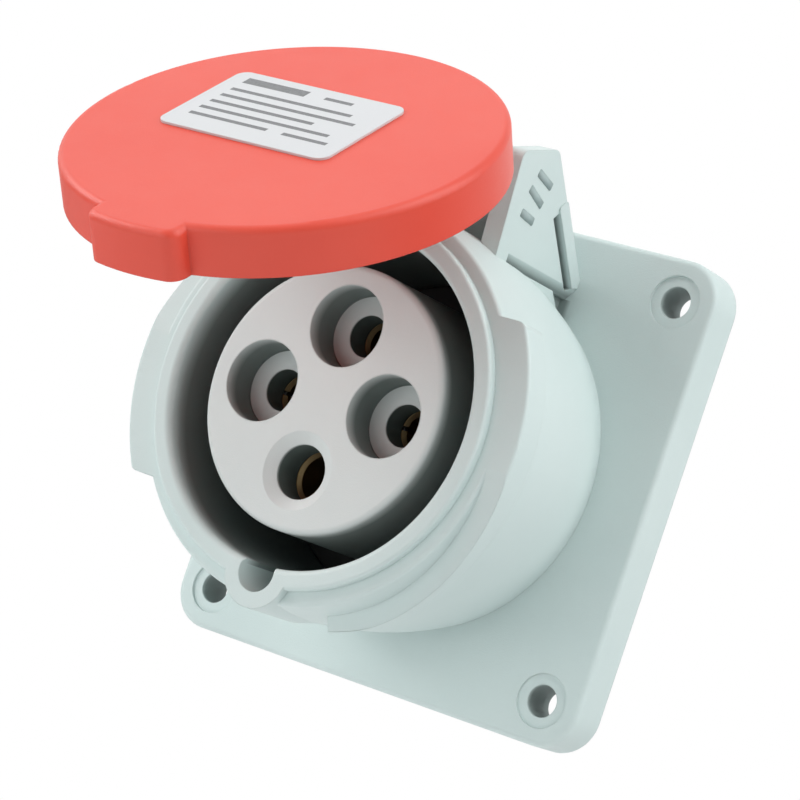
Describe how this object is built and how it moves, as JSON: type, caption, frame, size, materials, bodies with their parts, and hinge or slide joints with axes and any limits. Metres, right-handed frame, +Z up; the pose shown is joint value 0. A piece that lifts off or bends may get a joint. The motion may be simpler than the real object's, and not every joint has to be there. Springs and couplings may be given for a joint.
{
  "type": "industrial panel socket",
  "caption": "Square-flanged industrial panel socket with a round well, recessed pin contacts, bottom keyway and a sprung red lid standing open on its top hinge.",
  "frame": {"origin": "centre of the square flange, on its back face, which is the panel's plane", "axes": "-Y out of the socket towards the plug, +Z up towards the hinge, +X to the right seen from the front"},
  "size_m": [0.085, 0.1327, 0.0995],
  "materials": {
    "grey_shell": "moulded, fine satin texture",
    "light_insert": "moulded, satin",
    "dark_insert": "moulded, satin",
    "red_cap": "moulded, satin",
    "black_rubber": "moulded rubber",
    "white_plate": "printed label stock, plain",
    "brass_contact": "turned",
    "bright_steel": "drawn",
    "plated_steel": "zinc plated",
    "spring_wire": "drawn wire"
  },
  "bodies": {
    "base": {"housing": "grey_shell", "panel_gasket": "black_rubber", "plug_seal": "black_rubber", "contact_carrier": "light_insert", "terminal_base": "dark_insert", "carrier_screws": "plated_steel", "centre_screw": "plated_steel", "hinge_pin": "bright_steel", "lid_spring": "spring_wire", "contact_l1": "brass_contact", "contact_grip_l1": "spring_wire", "terminal_screw_l1": "plated_steel", "contact_l2": "brass_contact", "contact_grip_l2": "spring_wire", "terminal_screw_l2": "plated_steel", "contact_l3": "brass_contact", "contact_grip_l3": "spring_wire", "terminal_screw_l3": "plated_steel", "contact_earth": "brass_contact", "contact_grip_earth": "spring_wire", "terminal_screw_earth": "plated_steel"},
    "lid": {"lid": "red_cap", "lid_seal": "black_rubber", "lid_label": "white_plate"}
  },
  "joints": [
    {"name": "lid_hinge", "type": "hinge", "parent": "base", "child": "lid", "pos_m": [0, -0.03, 0.0437], "axis": [-1, 0, 0], "range_deg": [-51, 59], "deforming": ["lid_spring"]}
  ]
}
